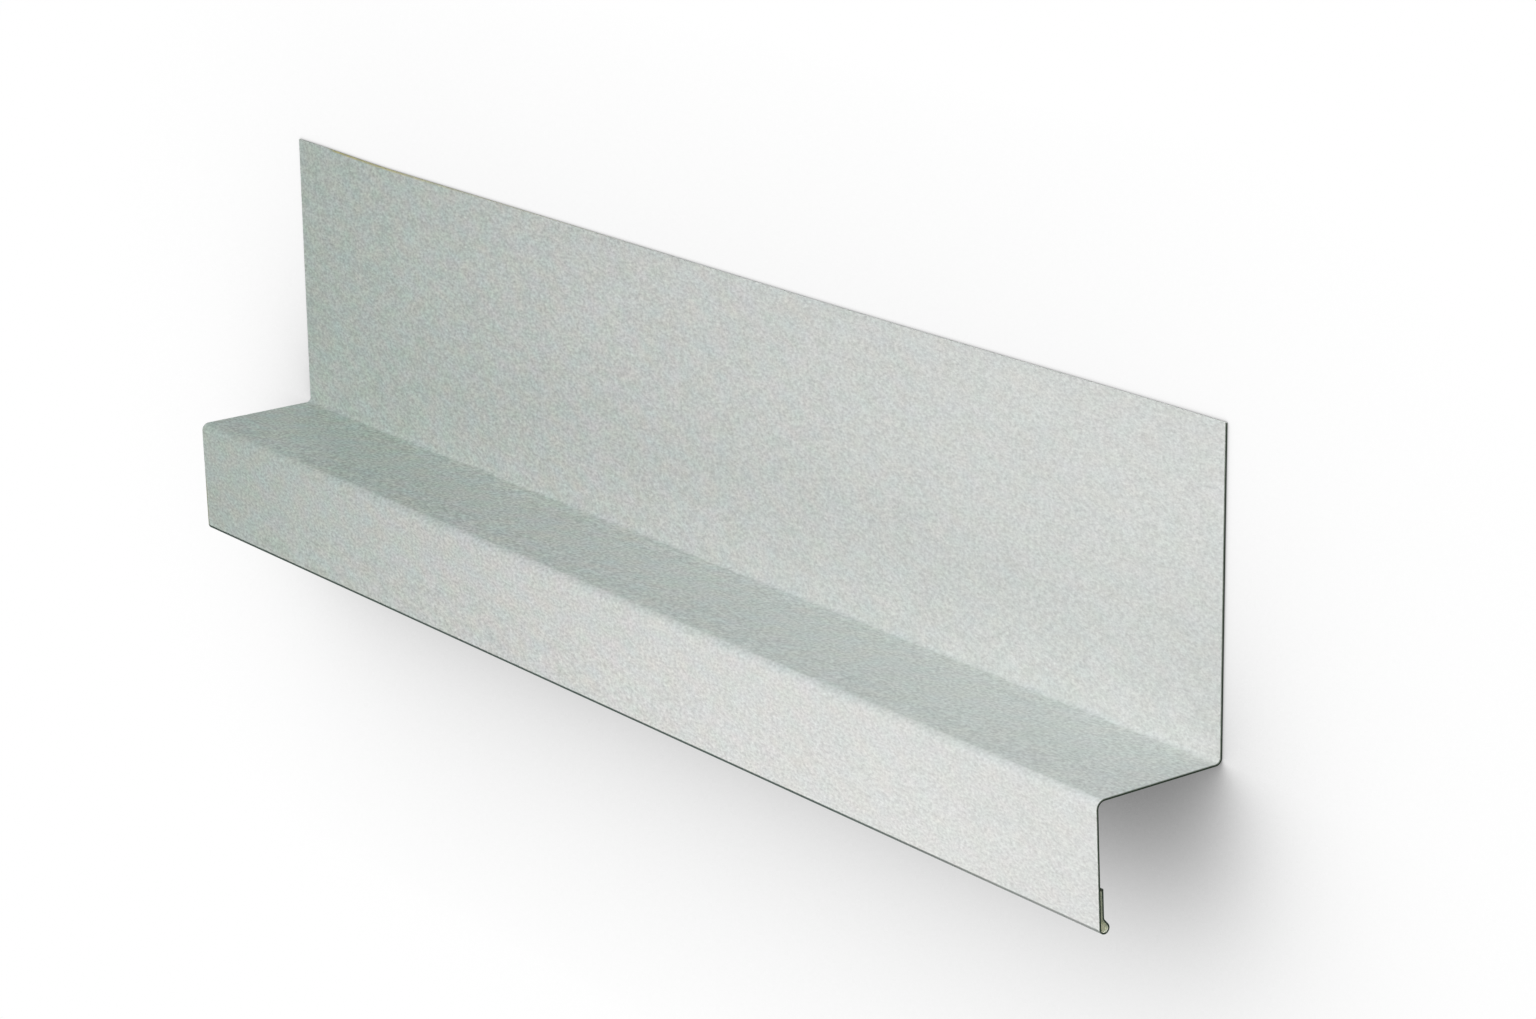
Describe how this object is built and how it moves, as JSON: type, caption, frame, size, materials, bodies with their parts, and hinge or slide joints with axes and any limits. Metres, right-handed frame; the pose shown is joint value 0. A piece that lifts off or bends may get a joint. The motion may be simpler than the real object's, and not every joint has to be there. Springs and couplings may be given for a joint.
{
  "type": "base trim",
  "caption": "Straight painted steel base trim in a Z section: wall flange, sloped shelf and drip leg with an open hem folded back behind its foot.",
  "frame": {"origin": "centre of the bounding box, on the floor that the back of the wall flange lies on", "axes": "+X along the strip, +Y from the drip hem towards the free edge of the wall flange (up on a wall), +Z out of the wall"},
  "size_m": [0.4572, 0.126, 0.041],
  "materials": {
    "painted_steel": "satin"
  },
  "bodies": {
    "root": {"base_trim": "painted_steel"}
  },
  "joints": []
}
